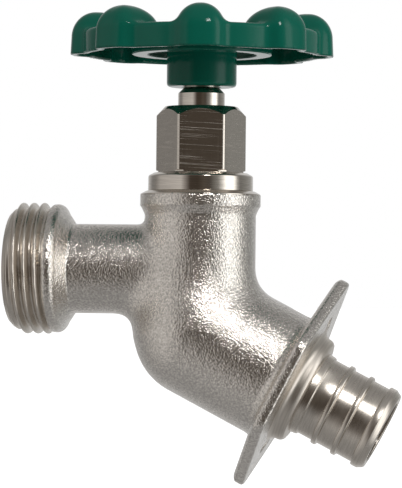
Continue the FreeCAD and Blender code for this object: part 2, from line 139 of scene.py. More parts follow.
class CastingSizes(bpy.types.PropertyGroup):
    """Sizes of the cast valve body"""
    barrel: length("Barrel radius", 0.01145, "Radius of the barrel under the stem")
    collar: length("Collar radius", 0.0124, "Radius of the collar on top of the barrel")
    elbow: length("Elbow radius", 0.01345, "Radius of the elbow and of the inlet's outside")
    neck: length("Neck radius", 0.00925, "Radius of the neck to the hose outlet")
    shoulder: length("Shoulder radius", 0.0133, "Radius of the cast shoulder behind the thread")
    flange: length("Flange thickness", 0.0028, "Thickness of the wall flange")
    fillet: length("Fillet", 0.003, "Size of the blends where the cast shapes meet")
    grain: length("Grain", 0.00042, "Spacing of the sand grain on the casting")


class ThreadSizes(bpy.types.PropertyGroup):
    """Sizes of the hose thread and the tubing barb"""
    crest: length("Crest radius", 0.01358, "Radius over the hose thread's crests")
    depth: length("Thread depth", 0.00125, "Depth of the hose thread")
    pitch: length("Thread pitch", 0.002209, "Distance from crest to crest")
    rib: length("Rib radius", 0.008915, "Radius over the barb's ribs")
    core: length("Barb radius", 0.00835, "Radius of the barb between its ribs")


class TrimSizes(bpy.types.PropertyGroup):
    """Sizes of the bonnet, the packing nut and the stem"""
    rim: length("Bonnet rim radius", 0.0108, "Radius of the bonnet's round rim")
    flats: length("Across flats", 0.0162, "Width of the packing nut across its flats")
    corner: length("Corner radius", 0.00921, "Radius that the nut's corners are turned to")
    crown: length("Crown radius", 0.0075, "Radius of the nut's flat top")
    stem: length("Stem radius", 0.0048, "Radius of the stem where it shows")
    drive: length("Stem end radius", 0.0037, "Radius of the stem's end inside the hub")


class WheelSizes(bpy.types.PropertyGroup):
    """Sizes of the handwheel"""
    rim: length("Rim radius", 0.0247, "Radius of the rim between the lobes")
    lobe: length("Lobe radius", 0.0050, "Radius of a lobe's rounded top")
    lobe_place: length("Lobe place", 0.0218, "Distance from the stem's axis to a lobe's middle")
    wall: length("Wall", 0.0013, "Thickness of the die-cast wall")
    hub: length("Hub radius", 0.0072, "Radius of the hub")
    turn: FloatProperty(name="Turn", description="Where a lobe stands, from the front",
                        default=math.radians(8.0), subtype="ANGLE", unit="ROTATION")


class Finish(bpy.types.PropertyGroup):
    """Colours and surface of the valve's finishes"""
    nickel: colour("Nickel", (0.66, 0.605, 0.54), "Reflected colour of machined nickel plate")
    cast: colour("Cast nickel", (0.79, 0.745, 0.69), "Reflected colour of the cast nickel plate")
    enamel: colour("Enamel", (0.004, 0.132, 0.087), "Colour of the wheel's enamel")
    brass: colour("Brass", (0.78, 0.52, 0.22), "Colour of plain machined brass")
    zinc: colour("Zinc", (0.62, 0.62, 0.6), "Colour of the zinc-plated screw and washer")
    rubber: colour("Rubber", (0.02, 0.02, 0.02), "Colour of the seat washer")
    graphite: colour("Graphite", (0.05, 0.05, 0.055), "Colour of the stem's packing")
    fibre: colour("Fibre", (0.28, 0.11, 0.06), "Colour of the bonnet's gasket")
    cast_roughness: amount("Cast roughness", 0.20, "Roughness of the plated casting")
    polish: amount("Machined roughness", 0.13, "Roughness of the machined and plated pieces")


class Stage(bpy.types.PropertyGroup):
    """Camera and light"""
    azimuth: FloatProperty(name="Azimuth", description="Camera's turn about the stem",
                           default=math.radians(8.92), subtype="ANGLE", unit="ROTATION")
    elevation: FloatProperty(name="Elevation", description="Camera's angle above level",
                             default=math.radians(-0.71), subtype="ANGLE", unit="ROTATION")
    roll: FloatProperty(name="Roll", description="Camera's turn about its own view",
                        default=math.radians(0.58), subtype="ANGLE", unit="ROTATION")
    distance: length("Distance", 0.5586, "From the camera to the valve")
    lens: FloatProperty(name="Lens", description="Focal length", default=200.1,
                        subtype="DISTANCE_CAMERA", unit="CAMERA", min=1.0)
    floor_gap: length("Floor gap", 0.03, "Clear height between the valve and the floor")
    softbox: length("Softbox", 0.24, "Width and height of the key light's softbox")
    softbox_power: FloatProperty(name="Softbox power", description="Power of the key light",
                                 default=4.4, unit="POWER", min=0.0)


# ---------------------------------------------------------------------------------------
# Solid shapes as distances: negative inside, positive outside, in metres
# ---------------------------------------------------------------------------------------

def in_space(points, space):
    """Points seen from a space: their place across its axis (two columns) and along it."""
    rotation = np.array(space.to_3x3())
    return (points - np.array(space.translation)) @ rotation


def polygon_distance(x, y, corners):
    """Signed distance from (x, y) to a closed outline."""
    nearest = np.full(x.shape, np.inf)
    inside = np.zeros(x.shape, bool)
    for (ax, ay), (bx, by) in zip(corners, corners[1:] + corners[:1]):
        ex, ey = bx - ax, by - ay
        px, py = x - ax, y - ay
        part = np.clip((px * ex + py * ey) / (ex * ex + ey * ey), 0, 1)
        nearest = np.minimum(nearest, (px - ex * part) ** 2 + (py - ey * part) ** 2)
        crosses = (ay > y) != (by > y)
        rise = ey if ey else 1e-12
        inside ^= crosses & (px < ex * py / rise)
    return np.where(inside, -1, 1) * np.sqrt(nearest)


def turned_distance(points, space, corners):
    """A turned solid from (radius, height) corners about a space's Z."""
    local = in_space(points, space)
    return polygon_distance(np.hypot(local[..., 0], local[..., 1]), local[..., 2], corners)


def rod(radius, start, end):
    """Corners of a plain rod about a space's Z, for turned_distance."""
    return [(0.0, start), (radius, start), (radius, end), (0.0, end)]


def blend(a, b, reach):
    """Union of two solids with a fillet about as wide as reach."""
    near = np.maximum(reach - np.abs(a - b), 0) / reach
    return np.minimum(a, b) - near * near * reach / 4


def blend_cut(a, b, reach):
    """The part inside both solids, with the edge between them rounded."""
    return -blend(-a, -b, reach)


def carve(solid, tool, reach):
    """A solid with a tool's shape cut out and the edge softened."""
    return -blend(-solid, tool, reach)


def net_mesh(name, distance, low, high, cell):
    """A mesh of quads on the surface where distance is zero, found on a grid of cells."""
    low, high = np.array(low), np.array(high)
    counts = np.ceil((high - low) / cell).astype(int) + 1
    lines = [low[axis] + cell * np.arange(counts[axis]) for axis in range(3)]
    values = distance(np.stack(np.meshgrid(*lines, indexing="ij"), axis=-1))
    step = np.array([counts[1] * counts[2], counts[2], 1])
    cells, crossings, quads = [], [], []
    for axis in range(3):
        first = np.take(values, range(counts[axis] - 1), axis)
        second = np.take(values, range(1, counts[axis]), axis)
        place = np.stack(np.nonzero((first < 0) != (second < 0)), axis=-1)
        start, end = first[tuple(place.T)], second[tuple(place.T)]
        crossing = place.astype(float)
        crossing[:, axis] += start / (start - end)
        side, other = (axis + 1) % 3, (axis + 2) % 3
        flat = place @ step
        around = [flat, flat - step[side], flat - step[side] - step[other], flat - step[other]]
        for cell_number in around:
            cells.append(cell_number)
            crossings.append(crossing)
        ring = np.stack(around, axis=-1)
        quads.append(np.where((start < 0)[:, None], ring, ring[:, ::-1]))
    used, numbers = np.unique(np.concatenate(cells), return_inverse=True)
    crossings = np.concatenate(crossings)
    total = np.bincount(numbers)
    spots = np.stack([np.bincount(numbers, crossings[:, axis]) / total for axis in range(3)], -1)
    spots = settle(low + spots * cell, distance, cell)
    faces = np.searchsorted(used, np.concatenate(quads))
    mesh = bpy.data.meshes.new(name)
    mesh.from_pydata(spots.tolist(), [], faces.tolist())
    mesh.validate()
    mesh.shade_smooth()
    return mesh


def settle(spots, distance, cell):
    """Move points onto the surface along the distance's own slope."""
    nudge = cell * 0.05
    for _ in range(3):
        value = distance(spots)
        slope = np.stack([
            (distance(spots + nudge * unit) - distance(spots - nudge * unit)) / (2 * nudge)
            for unit in np.eye(3)
        ], axis=-1)
        steep = np.maximum((slope ** 2).sum(-1), 0.2)
        step = np.clip(value / steep, -cell, cell) * 0.8
        spots = spots - slope * step[:, None]
    return spots


# ---------------------------------------------------------------------------------------
# Ringed meshes: turned, hexagonal and threaded pieces
# ---------------------------------------------------------------------------------------

SHARP_ANGLE = math.radians(28)


def ring_mesh(name, rings, space, steps=144, closed=True):
    """A mesh of rings about a space's Z. Each ring is (radius, height), numbers or
    functions of the angle; closed joins the last ring to the first."""
    angles = [2 * math.pi * step / steps for step in range(steps)]
    made = bmesh.new()
    loops = []
    for radius, height in rings:
        loop = []
        for angle in angles:
            r = radius(angle) if callable(radius) else radius
            z = height(angle) if callable(height) else height
            loop.append(made.verts.new((r * math.cos(angle), r * math.sin(angle), z)))
        loops.append(loop)
    pairs = list(zip(loops, loops[1:]))
    if closed:
        pairs.append((loops[-1], loops[0]))
    for lower, upper in pairs:
        for step in range(steps):
            following = (step + 1) % steps
            made.faces.new((lower[step], lower[following], upper[following], upper[step]))
    bmesh.ops.remove_doubles(made, verts=made.verts, dist=1e-6)
    bmesh.ops.recalc_face_normals(made, faces=made.faces)
    made.transform(space)
    mesh = bpy.data.meshes.new(name)
    made.to_mesh(mesh)
    made.free()
    mesh.shade_smooth()
    mesh.set_sharp_from_angle(angle=SHARP_ANGLE)
    return mesh


def softened(piece, width):
    """A narrow bevel on a piece's sharp edges, so that they catch the light."""
    bevel = piece.modifiers.new("edges", "BEVEL")
    bevel.width = width
    bevel.segments = 2
    bevel.limit_method = "ANGLE"
    bevel.angle_limit = SHARP_ANGLE
    bevel.harden_normals = True


def add_piece(mesh, body, slot, material, *nodes):
    """Put a mesh in the scene as a piece that rides on a body and stands for CAD nodes."""
    piece = bpy.data.objects.new(mesh.name, mesh)
    bpy.context.scene.collection.objects.link(piece)
    mesh.materials.append(material)
    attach(piece, body)
    if nodes:
        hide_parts(*nodes)
    return piece


# ---------------------------------------------------------------------------------------
# Materials
# ---------------------------------------------------------------------------------------

def group_output(group, name):
    group.interface.new_socket(name, in_out="OUTPUT", socket_type="NodeSocketFloat")


def group_input(group, name, default, kind="NodeSocketFloat"):
    socket = group.interface.new_socket(name, in_out="INPUT", socket_type=kind)
    socket.default_value = default


def grain_group():
    """Fine grain on a surface: a height, and a mask of broader patches."""
    if "Grain" in bpy.data.node_groups:
        return bpy.data.node_groups["Grain"]
    group = bpy.data.node_groups.new("Grain", "ShaderNodeTree")
    group_input(group, "Scale", 1000.0)
    group_input(group, "Patch Scale", 120.0)
    group_output(group, "Height")
    group_output(group, "Patches")
    nodes, links = group.nodes, group.links
    inputs, outputs = nodes.new("NodeGroupInput"), nodes.new("NodeGroupOutput")
    place = nodes.new("ShaderNodeTexCoord")
    fine = nodes.new("ShaderNodeTexNoise")
    fine.inputs["Detail"].default_value = 2.0
    fine.inputs["Roughness"].default_value = 0.55
    patches = nodes.new("ShaderNodeTexNoise")
    patches.inputs["Detail"].default_value = 3.0
    links.new(place.outputs["Object"], fine.inputs["Vector"])
    links.new(place.outputs["Object"], patches.inputs["Vector"])
    links.new(inputs.outputs["Scale"], fine.inputs["Scale"])
    links.new(inputs.outputs["Patch Scale"], patches.inputs["Scale"])
    links.new(fine.outputs["Fac"], outputs.inputs["Height"])
    links.new(patches.outputs["Fac"], outputs.inputs["Patches"])
    return group


def tool_lines_group():
    """Marks of a tool along an axis: a height of fine lines, and sparse deeper grooves."""
    if "Tool Lines" in bpy.data.node_groups:
        return bpy.data.node_groups["Tool Lines"]
    group = bpy.data.node_groups.new("Tool Lines", "ShaderNodeTree")
    group_input(group, "Scale", 5000.0)
    group_input(group, "Axis", (0.0, 0.0, 1.0), "NodeSocketVector")
    group_output(group, "Lines")
    group_output(group, "Grooves")
    nodes, links = group.nodes, group.links
    inputs, outputs = nodes.new("NodeGroupInput"), nodes.new("NodeGroupOutput")
    place = nodes.new("ShaderNodeTexCoord")
    across = nodes.new("ShaderNodeVectorMath")
    across.operation = "DOT_PRODUCT"
    links.new(place.outputs["Object"], across.inputs[0])
    links.new(inputs.outputs["Axis"], across.inputs[1])
    step = nodes.new("ShaderNodeCombineXYZ")
    links.new(across.outputs["Value"], step.inputs["X"])
    # The marks run about twenty times as far along the surface as across it.
    stretched = nodes.new("ShaderNodeVectorMath")
    stretched.operation = "MULTIPLY_ADD"
    stretched.inputs[1].default_value = (0.05, 0.05, 0.05)
    links.new(place.outputs["Object"], stretched.inputs[0])
    links.new(step.outputs["Vector"], stretched.inputs[2])
    lines = nodes.new("ShaderNodeTexNoise")
    lines.inputs["Detail"].default_value = 3.0
    links.new(stretched.outputs["Vector"], lines.inputs["Vector"])
    links.new(inputs.outputs["Scale"], lines.inputs["Scale"])
    links.new(lines.outputs["Fac"], outputs.inputs["Lines"])
    links.new(ranged(nodes, links, lines.outputs["Fac"], 0.54, 0.64, 0.0, 1.0),
              outputs.inputs["Grooves"])
    return group


def new_material(name):
    """A material with its nodes, its links and its shader."""
    material = bpy.data.materials.new(name)
    material.use_nodes = True
    nodes, links = material.node_tree.nodes, material.node_tree.links
    return material, nodes, links, nodes["Principled BSDF"]


def place_group(nodes, group, **values):
    """Place a node group with values for its inputs; a _ stands for a space."""
    node = nodes.new("ShaderNodeGroup")
    node.node_tree = group
    for name, value in values.items():
        node.inputs[name.replace("_", " ")].default_value = value
    return node


def ranged(nodes, links, source, low, high, to_low, to_high):
    """Map a value from one range to another and give the output socket."""
    node = nodes.new("ShaderNodeMapRange")
    node.inputs["From Min"].default_value = low
    node.inputs["From Max"].default_value = high
    node.inputs["To Min"].default_value = to_low
    node.inputs["To Max"].default_value = to_high
    links.new(source, node.inputs["Value"])
    return node.outputs["Result"]


def two_colours(nodes, links, mask, first, second):
    """Go from the first colour to the second by a mask; gives the output socket."""
    node = nodes.new("ShaderNodeMix")
    node.data_type = "RGBA"
    node.inputs["A"].default_value = (*first, 1)
    node.inputs["B"].default_value = (*second, 1)
    links.new(mask, node.inputs["Factor"])
    return node.outputs["Result"]


def bumped(nodes, links, shader, height, distance):
    """Raise a shader's surface by a height map, as deep as distance in metres."""
    node = nodes.new("ShaderNodeBump")
    node.inputs["Distance"].default_value = distance
    links.new(height, node.inputs["Height"])
    links.new(node.outputs["Normal"], shader.inputs["Normal"])


def shaded(tint, share):
    """A colour made darker, or lighter where share is above 1."""
    return tuple(channel * share for channel in tint)


def rough_by(nodes, links, shader, mask, smoothest, roughest):
    """Let a noise mask move a shader's roughness between two values."""
    links.new(ranged(nodes, links, mask, 0.3, 0.7, smoothest, roughest),
              shader.inputs["Roughness"])


def cast_nickel():
    """Nickel plate over a tumbled sand casting: satin, grainy and faintly patchy."""
    look = bpy.context.scene.hose_bib_finish
    material, nodes, links, shader = new_material("cast nickel plate")
    spacing = bpy.context.scene.hose_bib_casting.grain
    grain = place_group(nodes, grain_group(), Scale=1.0 / spacing, Patch_Scale=160.0)
    shader.inputs["Metallic"].default_value = 1.0
    peaks = ranged(nodes, links, grain.outputs["Height"], 0.34, 0.66, 0.0, 1.0)
    links.new(two_colours(nodes, links, peaks, shaded(look.cast, 0.78),
                          shaded(look.cast, 1.12)), shader.inputs["Base Color"])
    rough_by(nodes, links, shader, grain.outputs["Patches"],
             look.cast_roughness - 0.04, look.cast_roughness + 0.06)
    bumped(nodes, links, shader, grain.outputs["Height"], distance=spacing * 0.40)
    return material


def machined_nickel(name, roughness, line_scale, line_depth, axis):
    """Nickel plate over turned brass, with fine tool lines along an axis."""
    look = bpy.context.scene.hose_bib_finish
    material, nodes, links, shader = new_material(name)
    marks = place_group(nodes, tool_lines_group(), Scale=line_scale, Axis=tuple(axis))
    patches = place_group(nodes, grain_group(), Scale=900.0, Patch_Scale=220.0)
    shader.inputs["Metallic"].default_value = 1.0
    ridges = ranged(nodes, links, marks.outputs["Lines"], 0.35, 0.65, 0.0, 1.0)
    links.new(two_colours(nodes, links, ridges, shaded(look.nickel, 0.9),
                          shaded(look.nickel, 1.1)), shader.inputs["Base Color"])
    rough_by(nodes, links, shader, patches.outputs["Patches"],
             roughness * 0.85, roughness * 1.25)
    bumped(nodes, links, shader, marks.outputs["Lines"], line_depth)
    return material


def milled_nickel():
    """Nickel plate over a milled flat, with a few deeper grooves that catch the light."""
    look = bpy.context.scene.hose_bib_finish
    material, nodes, links, shader = new_material("milled nickel")
    marks = place_group(nodes, tool_lines_group(), Scale=5200.0, Axis=tuple(UP))
    patches = place_group(nodes, grain_group(), Scale=2600.0, Patch_Scale=220.0)
    shader.inputs["Metallic"].default_value = 1.0
    links.new(two_colours(nodes, links, patches.outputs["Height"], shaded(look.nickel, 0.80),
                          shaded(look.nickel, 1.14)), shader.inputs["Base Color"])
    grooves = marks.outputs["Grooves"]
    links.new(ranged(nodes, links, grooves, 0.0, 1.0, look.polish, look.polish * 2.8),
              shader.inputs["Roughness"])
    bumped(nodes, links, shader, grooves, distance=0.0000065)
    return material


def enamel():
    """Glossy dark green enamel with a faint orange peel."""
    look = bpy.context.scene.hose_bib_finish
    material, nodes, links, shader = new_material("green enamel")
    peel = place_group(nodes, grain_group(), Scale=420.0, Patch_Scale=90.0)
    links.new(two_colours(nodes, links, peel.outputs["Patches"],
                          shaded(look.enamel, 0.88), look.enamel), shader.inputs["Base Color"])
    rough_by(nodes, links, shader, peel.outputs["Patches"], 0.07, 0.13)
    shader.inputs["IOR"].default_value = 1.5
    shader.inputs["Specular IOR Level"].default_value = 0.20
    bumped(nodes, links, shader, peel.outputs["Height"], distance=0.00003)
    return material


def plain(name, tint, roughness, metallic, grain_depth):
    """A simple finish with grain: brass, rubber, packing, fibre or zinc-plated steel."""
    material, nodes, links, shader = new_material(name)
    grain = place_group(nodes, grain_group(), Scale=1500.0, Patch_Scale=300.0)
    shader.inputs["Metallic"].default_value = metallic
    links.new(two_colours(nodes, links, grain.outputs["Patches"], shaded(tint, 0.8), tint),
              shader.inputs["Base Color"])
    rough_by(nodes, links, shader, grain.outputs["Patches"],
             roughness * 0.85, min(roughness * 1.2, 1.0))
    bumped(nodes, links, shader, grain.outputs["Height"], grain_depth)
    return material


# ---------------------------------------------------------------------------------------
# Operators: one for each piece or group of like pieces
# ---------------------------------------------------------------------------------------

# How far the cast shoulder's round edge falls below its full radius at places along the
# outlet, from the cone behind it to the thread in front.
SHOULDER_ROUND = (
    (0.0026, 0.0272), (0.0013, 0.0281), (0.0008, 0.0283), (0.0003, 0.0287), (0.0, 0.0293),
    (0.0, 0.0303), (0.0004, 0.0308), (0.0010, 0.0310),
)


def neck_section(sizes):
    """Corners of the neck, the cone and the cast shoulder, along the outlet."""
    start, cone, end = -0.002, 0.0262, 0.0311
    shoulder = [(sizes.shoulder - fall, place) for fall, place in SHOULDER_ROUND]
    return [(0.0, start), (sizes.neck, start), (sizes.neck, cone), *shoulder, (0.0, end)]


def barrel_section(sizes):
    """Corners of the barrel and its collar, up the stem's axis."""
    foot, flare, collar, top = -0.013, 0.0113, 0.0131, 0.0155
    edge = 0.0003
    return [
        (0.0, foot),
        (sizes.barrel, foot),
        (sizes.barrel, flare),
        (sizes.collar - edge, collar - 0.0004),
        (sizes.collar, collar),
        (sizes.collar, top),
        (0.0, top),
    ]


def flange_distance(points, sizes):
    """The wall flange: a hexagon on one point, with rounded corners, bevelled in front."""
    point, side_up, side_across = 0.0239, 0.0093, 0.0197
    rounding, front_bevel, back_edge = 0.0035, 0.0009, 0.0007
    # The flat hexagon is drawn small and grown again by its rounding.
    inset = rounding * 1.12
    outline = [(point, 0.0), (side_up, side_across), (-side_up, side_across),
               (-point, 0.0), (-side_up, -side_across), (side_up, -side_across)]
    inner = [tuple(Vector(corner) * (1 - inset / Vector(corner).length)) for corner in outline]
    local = in_space(points, INLET_SPACE)
    edge = polygon_distance(local[..., 1], local[..., 0], inner) - rounding
    behind_front = local[..., 2] - WALL_DISTANCE + sizes.flange
    plate = np.abs(behind_front - sizes.flange / 2) - sizes.flange / 2
    bevel = (edge - behind_front + front_bevel) / math.sqrt(2)
    return blend_cut(np.maximum(edge, bevel), plate, back_edge)


def screw_holes(points, sizes):
    """The two screw holes through the flange, stopped just in front of it."""
    local = in_space(points, INLET_SPACE)
    start = WALL_DISTANCE - sizes.flange - 0.001
    return [
        np.maximum(np.hypot(local[..., 1] - up, local[..., 0]) - SCREW_RADIUS,
                   start - local[..., 2])
        for up in (SCREW_PLACE, -SCREW_PLACE)
    ]


def water_ways(points):
    """The water's way through the casting: in at the inlet, past the seat, out to the hose."""
    seat_bore, seat_lip, chamber = 0.0050, 0.0064, 0.0089
    seat_foot, seat_top, chamber_floor, open_top = -0.014, -0.0045, -0.0055, 0.02
    stem_way = [
        (0.0, seat_foot), (seat_bore, seat_foot), (seat_bore, seat_top), (seat_lip, seat_top),
        (seat_lip, chamber_floor), (chamber, chamber_floor), (chamber, open_top), (0.0, open_top),
    ]
    outlet_bore, outlet_start, outlet_end = 0.0068, 0.008, 0.034
    inlet_bore, inlet_start, inlet_end = 0.0069, 0.0035, 0.04
    return [
        turned_distance(points, STEM_SPACE, stem_way),
        turned_distance(points, OUTLET_SPACE, rod(outlet_bore, outlet_start, outlet_end)),
        turned_distance(points, INLET_SPACE, rod(inlet_bore, inlet_start, inlet_end)),
    ]


def casting_distance(sizes):
    """The whole cast body, with its fillets, bores and screw holes, as a distance."""
    elbow_fillet, flange_fillet, hole_edge = sizes.fillet * 1.3, sizes.fillet * 0.75, 0.0006
    # The neck runs into the barrel in a wide fillet below and a tight one above.
    fillet_heights, fillet_shares = (-0.008, 0.008), (1.6, 0.55)

    def distance(points):
        barrel = turned_distance(points, STEM_SPACE, barrel_section(sizes))
        inlet = turned_distance(points, INLET_SPACE, rod(sizes.elbow, 0.0, WALL_DISTANCE - 0.001))
        ball = np.linalg.norm(points - np.array(ELBOW), axis=-1) - sizes.elbow
        neck = turned_distance(points, OUTLET_SPACE, neck_section(sizes))
        height = points[..., 2] - VALVE.z
        neck_fillet = sizes.fillet * np.interp(height, fillet_heights, fillet_shares)
        solid = blend(barrel, np.minimum(inlet, ball), elbow_fillet)
        solid = blend(solid, neck, neck_fillet)
        solid = blend(solid, flange_distance(points, sizes), flange_fillet)
        for hole in screw_holes(points, sizes):
            solid = carve(solid, hole, hole_edge)
        for way in water_ways(points):
            solid = np.maximum(solid, -way)
        return solid
    return distance


class HOSEBIB_OT_casting(bpy.types.Operator):
    """Build the cast valve body with its fillets, flange and bores"""
    bl_idname = "hosebib.casting"
    bl_label = "Cast Body"

    def execute(self, context):
        sizes = context.scene.hose_bib_casting
        low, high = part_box("body_casting")
        margin = Vector((0.001, 0.001, 0.001))
        cell = 0.00042
        mesh = net_mesh("cast_body", casting_distance(sizes), low - margin, high + margin, cell)
        if len(mesh.polygons) < 1000:
            raise RuntimeError("the casting's surface wasn't found")
        add_piece(mesh, "valve_body", "cast_nickel", cast_nickel(), "body_casting")
        return {"FINISHED"}


# The machined end of the outlet, as places along its axis: the thread's first and last
# ring and the face. Then the radii of its bore, of the hose's mouth and of the face.
THREAD_FIRST, THREAD_LAST, OUTLET_FACE = 0.0308, 0.0384, 0.0392
OUTLET_BORE, MOUTH, FACE_RIM = 0.00675, 0.0096, 0.01155


def thread_radius(sizes, along, angle):
    """Radius of the hose thread at a place along it and an angle, right-handed."""
    crest_place = 0.0321
    turns = (along - crest_place) / sizes.pitch - (angle - math.pi) / (2 * math.pi)
    # 0 on a crest and 1 in a root.
    phase = abs((turns + 0.5) % 1.0 - 0.5) * 2
    crest_flat, flank_width = 0.08, 0.84
    flank = 1 - min(max((phase - crest_flat) / flank_width, 0.0), 1.0)
    smooth = flank * flank * (3 - 2 * flank)
    ridge = smooth * 0.85 + flank * 0.15
    # The ridge rises out of the shoulder and runs out before the face.
    rise_start, rise, fade, fade_end = 0.0309, 0.0006, 0.0010, 0.0382
    start = min(max((along - rise_start) / rise, 0.0), 1.0)
    end = min(max((fade_end - along) / fade, 0.0), 1.0)
    return sizes.crest - sizes.depth + sizes.depth * ridge * start * end


class HOSEBIB_OT_hose_thread(bpy.types.Operator):
    """Build the machined hose thread on the outlet, with its mouth"""
    bl_idname = "hosebib.hose_thread"
    bl_label = "Hose Thread"

    def execute(self, context):
        sizes = context.scene.hose_bib_thread
        root, mouth_floor, edge = sizes.crest - sizes.depth, 0.0315, 0.0005
        rows, steps = ((76, 216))
        rings = [(OUTLET_BORE, THREAD_FIRST), (root, THREAD_FIRST)]
        for row in range(1, rows):
            along = THREAD_FIRST + (THREAD_LAST - THREAD_FIRST) * row / rows
            rings.append((lambda angle, along=along: thread_radius(sizes, along, angle), along))
        rings += [
            (root, THREAD_LAST),
            (FACE_RIM, OUTLET_FACE),
            (MOUTH + edge, OUTLET_FACE),
            (MOUTH, OUTLET_FACE - edge),
            (MOUTH, mouth_floor),
            (OUTLET_BORE, mouth_floor),
        ]
        mesh = ring_mesh("hose_thread", rings, OUTLET_SPACE, steps)
        material = machined_nickel("threaded nickel", roughness=0.27, line_scale=9000.0,
                                   line_depth=0.000004, axis=LEFT)
        add_piece(mesh, "valve_body", "bright_nickel", material, "body_casting")
        return {"FINISHED"}


def rib_rings(sizes, middle):
    """One rounded rib of the barb, square on the wall's side."""
    return [
        (sizes.core, middle - 0.00062),
        (sizes.rib - 0.0001, middle - 0.0006),
        (sizes.rib, middle - 0.0004),
        (sizes.rib, middle + 0.0002),
        (sizes.rib - 0.00012, middle + 0.00042),
        (sizes.core, middle + 0.00064),
    ]


# The spigot's outline from its foot in the flange to its flat end, as radii and places
# past the wall face.
SPIGOT = (
    (0.0088, -0.002), (0.0140, -0.002), (0.0138, -0.00005), (0.0129, 0.00012),
    (0.0122, 0.00045), (0.01175, 0.0009), (0.01155, 0.0014), (0.01150, 0.0020),
    (0.01135, 0.0025), (0.01095, 0.00295), (0.0103, 0.00315), (0.0088, 0.00320),
)


class HOSEBIB_OT_tubing_barb(bpy.types.Operator):
    """Build the machined spigot and the ribbed barb on the inlet"""
    bl_idname = "hosebib.tubing_barb"
    bl_label = "Tubing Barb"

    def execute(self, context):
        sizes = context.scene.hose_bib_thread
        wall = WALL_DISTANCE
        outline = [(radius, wall + past) for radius, past in SPIGOT]
        satin = machined_nickel("satin nickel", roughness=0.36, line_scale=3000.0,
                                line_depth=0.000006, axis=TO_WALL)
        add_piece(ring_mesh("spigot", outline, INLET_SPACE), "valve_body", "cast_nickel",
                  satin, "body_casting")
        bore, root, foot = 0.00685, 0.0089, wall + 0.002
        neck_end, first_rib, second_rib = wall + 0.0048, 0.0315, 0.0360
        end_rib, tip = 0.0400, 0.0428
        rings = [
            (bore, foot),
            (root, foot),
            (root, wall + 0.0034),
            (root - 0.00015, neck_end - 0.0002),
            (root - 0.00030, neck_end),
            (sizes.core + 0.0001, neck_end),
            (sizes.core, neck_end + 0.0002),
            *rib_rings(sizes, first_rib),
            *rib_rings(sizes, second_rib),
            (sizes.core, end_rib),
            (sizes.rib - 0.0001, end_rib + 0.0001),
            (sizes.rib, end_rib + 0.0003),
            (sizes.rib, end_rib + 0.0015),
            (0.0083, tip - 0.0002),
            (0.0080, tip),
            (bore + 0.00025, tip),
            (bore, tip - 0.0002),
        ]
        mesh = ring_mesh("tubing_barb", rings, INLET_SPACE)
        material = machined_nickel("turned nickel", roughness=0.25, line_scale=6000.0,
                                   line_depth=0.000006, axis=TO_WALL)
        piece = add_piece(mesh, "valve_body", "bright_nickel", material, "body_casting")
        softened(piece, 0.00008)
        return {"FINISHED"}


class HOSEBIB_OT_bonnet(bpy.types.Operator):
    """Build the bonnet's round rim and the machined land that it sits on"""
    bl_idname = "hosebib.bonnet"
    bl_label = "Bonnet"

    def execute(self, context):
        look = context.scene.hose_bib_finish
        rim = context.scene.hose_bib_trim.rim
        material = machined_nickel("bright nickel", roughness=look.polish, line_scale=8000.0,
                                   line_depth=0.000002, axis=UP)
        land_top = height_of("body_casting", 1)
        land = [
            (0.0090, land_top - 0.0012),
            (0.01235, land_top - 0.0012),
            (0.01238, land_top - 0.00065),
            (0.0112, land_top),
            (0.0102, land_top),
            (0.0090, land_top),
        ]
        piece = add_piece(ring_mesh("machined_land", land, STEM_SPACE), "valve_body",
                          "bright_nickel", material, "body_casting")
        softened(piece, 0.00008)
        # The bonnet's outline: up inside the stem's chamber, out and up round the rim, and
        # up the sleeve that the nut is screwed on.
        stem_hole, chamber, plug, sleeve = 0.00486, 0.00625, 0.0088, 0.00685
        plug_foot, rim_top, sleeve_top = 0.0070, 0.0199, height_of("bonnet", 1)
        rings = [
            (stem_hole, 0.0185),
            (chamber, 0.0181),
            (chamber, plug_foot + 0.0001),
            (plug, plug_foot),
            (plug, land_top),
            (rim, land_top + 0.00002),
            (rim - 0.00002, rim_top - 0.0008),
            (rim - 0.00018, rim_top - 0.00055),
            (rim - 0.0012, rim_top),
            (sleeve, rim_top),
            (sleeve, sleeve_top),
            (stem_hole, sleeve_top),
        ]
        piece = add_piece(ring_mesh("bonnet_collar", rings, STEM_SPACE), "valve_body",
                          "bright_nickel", material, "bonnet")
        softened(piece, 0.00009)
        return {"FINISHED"}


